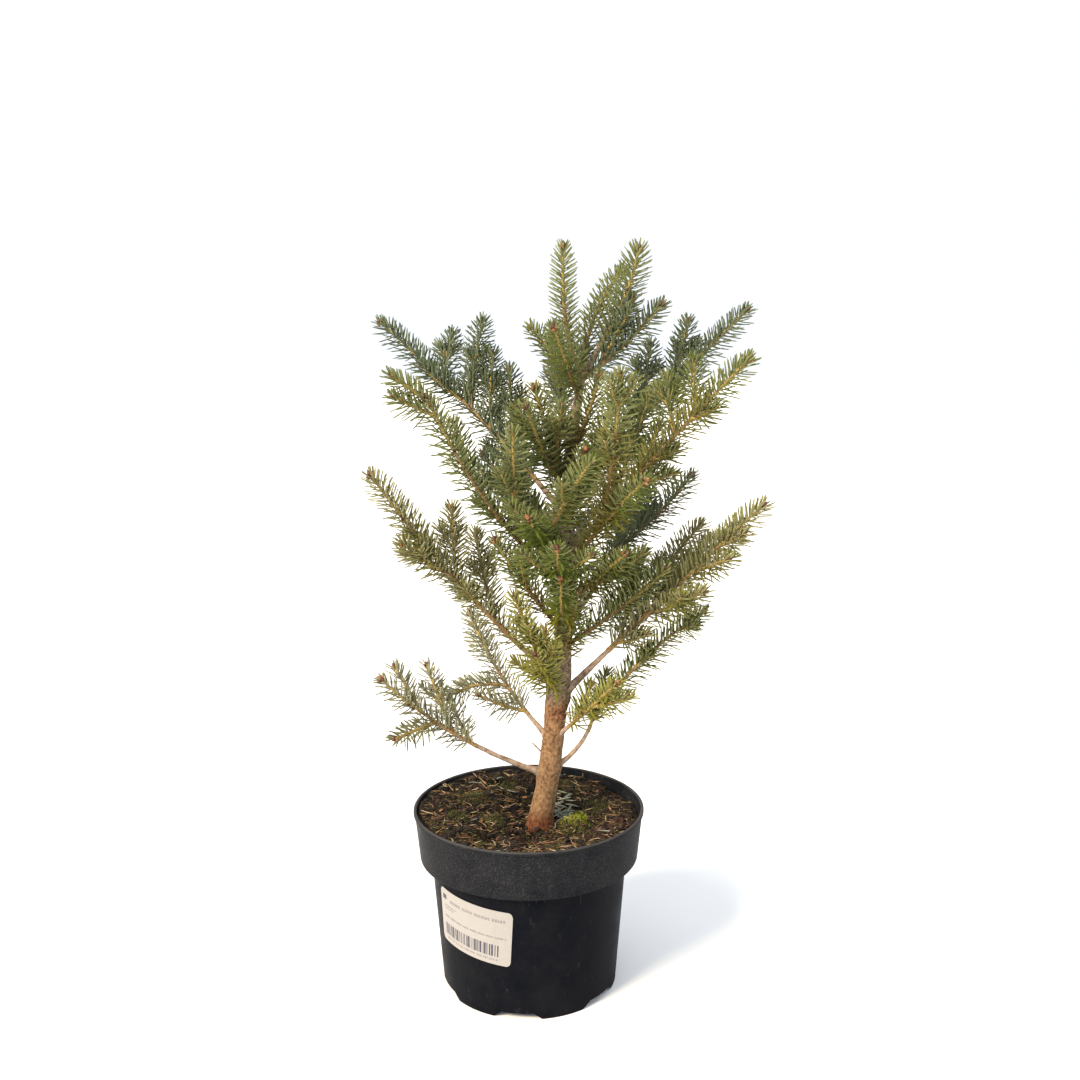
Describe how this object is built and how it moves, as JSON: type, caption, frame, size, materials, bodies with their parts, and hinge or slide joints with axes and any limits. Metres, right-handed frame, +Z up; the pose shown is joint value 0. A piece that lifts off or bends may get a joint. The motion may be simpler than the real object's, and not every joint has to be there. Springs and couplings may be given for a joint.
{
  "type": "potted korean fir",
  "caption": "Young Korean fir in a black plastic nursery pot: leaning tapered trunk, rising boughs and open masses of short needles, standing on the pot's flat foot.",
  "frame": {"origin": "middle of the pot's flat underside, at the level it stands on", "axes": "+Z up, the pot's front with its label towards -Y, +X to the right of the picture"},
  "size_m": [0.3173, 0.2515, 0.5993],
  "materials": {
    "pot": "matte",
    "soil": "matte",
    "label": "satin",
    "bark": "matte",
    "needles": "matte"
  },
  "bodies": {
    "root": {"bough_back_high": "bark", "bough_back_left": "bark", "bough_back_low": "bark", "bough_back_low_right": "bark", "bough_back_mid": "bark", "bough_back_right": "bark", "bough_bright_front": "bark", "bough_centre_left": "bark", "bough_front": "bark", "bough_front_mid": "bark", "bough_left": "bark", "bough_low_front": "bark", "bough_low_left": "bark", "bough_low_right": "bark", "bough_mid_right": "bark", "bough_right": "bark", "bough_second_left": "bark", "bough_upper_left": "bark", "bough_upper_right": "bark", "label": "label", "mass_back_high": "needles", "mass_back_left": "needles", "mass_back_low": "needles", "mass_back_low_right": "needles", "mass_back_mid": "needles", "mass_back_right": "needles", "mass_bright_front": "needles", "mass_centre_left": "needles", "mass_crown_back": "needles", "mass_crown_front": "needles", "mass_crown_left": "needles", "mass_crown_right": "needles", "mass_front": "needles", "mass_front_low": "needles", "mass_front_mid": "needles", "mass_front_right": "needles", "mass_inner_front": "needles", "mass_inner_left": "needles", "mass_inner_right": "needles", "mass_leader": "needles", "mass_left": "needles", "mass_low_centre": "needles", "mass_low_front": "needles", "mass_low_left": "needles", "mass_low_right": "needles", "mass_mid_centre": "needles", "mass_mid_low_right": "needles", "mass_mid_right": "needles", "mass_right": "needles", "mass_second_left": "needles", "mass_top_back": "needles", "mass_top_left": "needles", "mass_upper_left": "needles", "mass_upper_right": "needles", "mass_whorl_front": "needles", "mass_whorl_left": "needles", "mass_whorl_right": "needles", "pot": "pot", "soil": "soil", "trunk": "bark"}
  },
  "joints": []
}
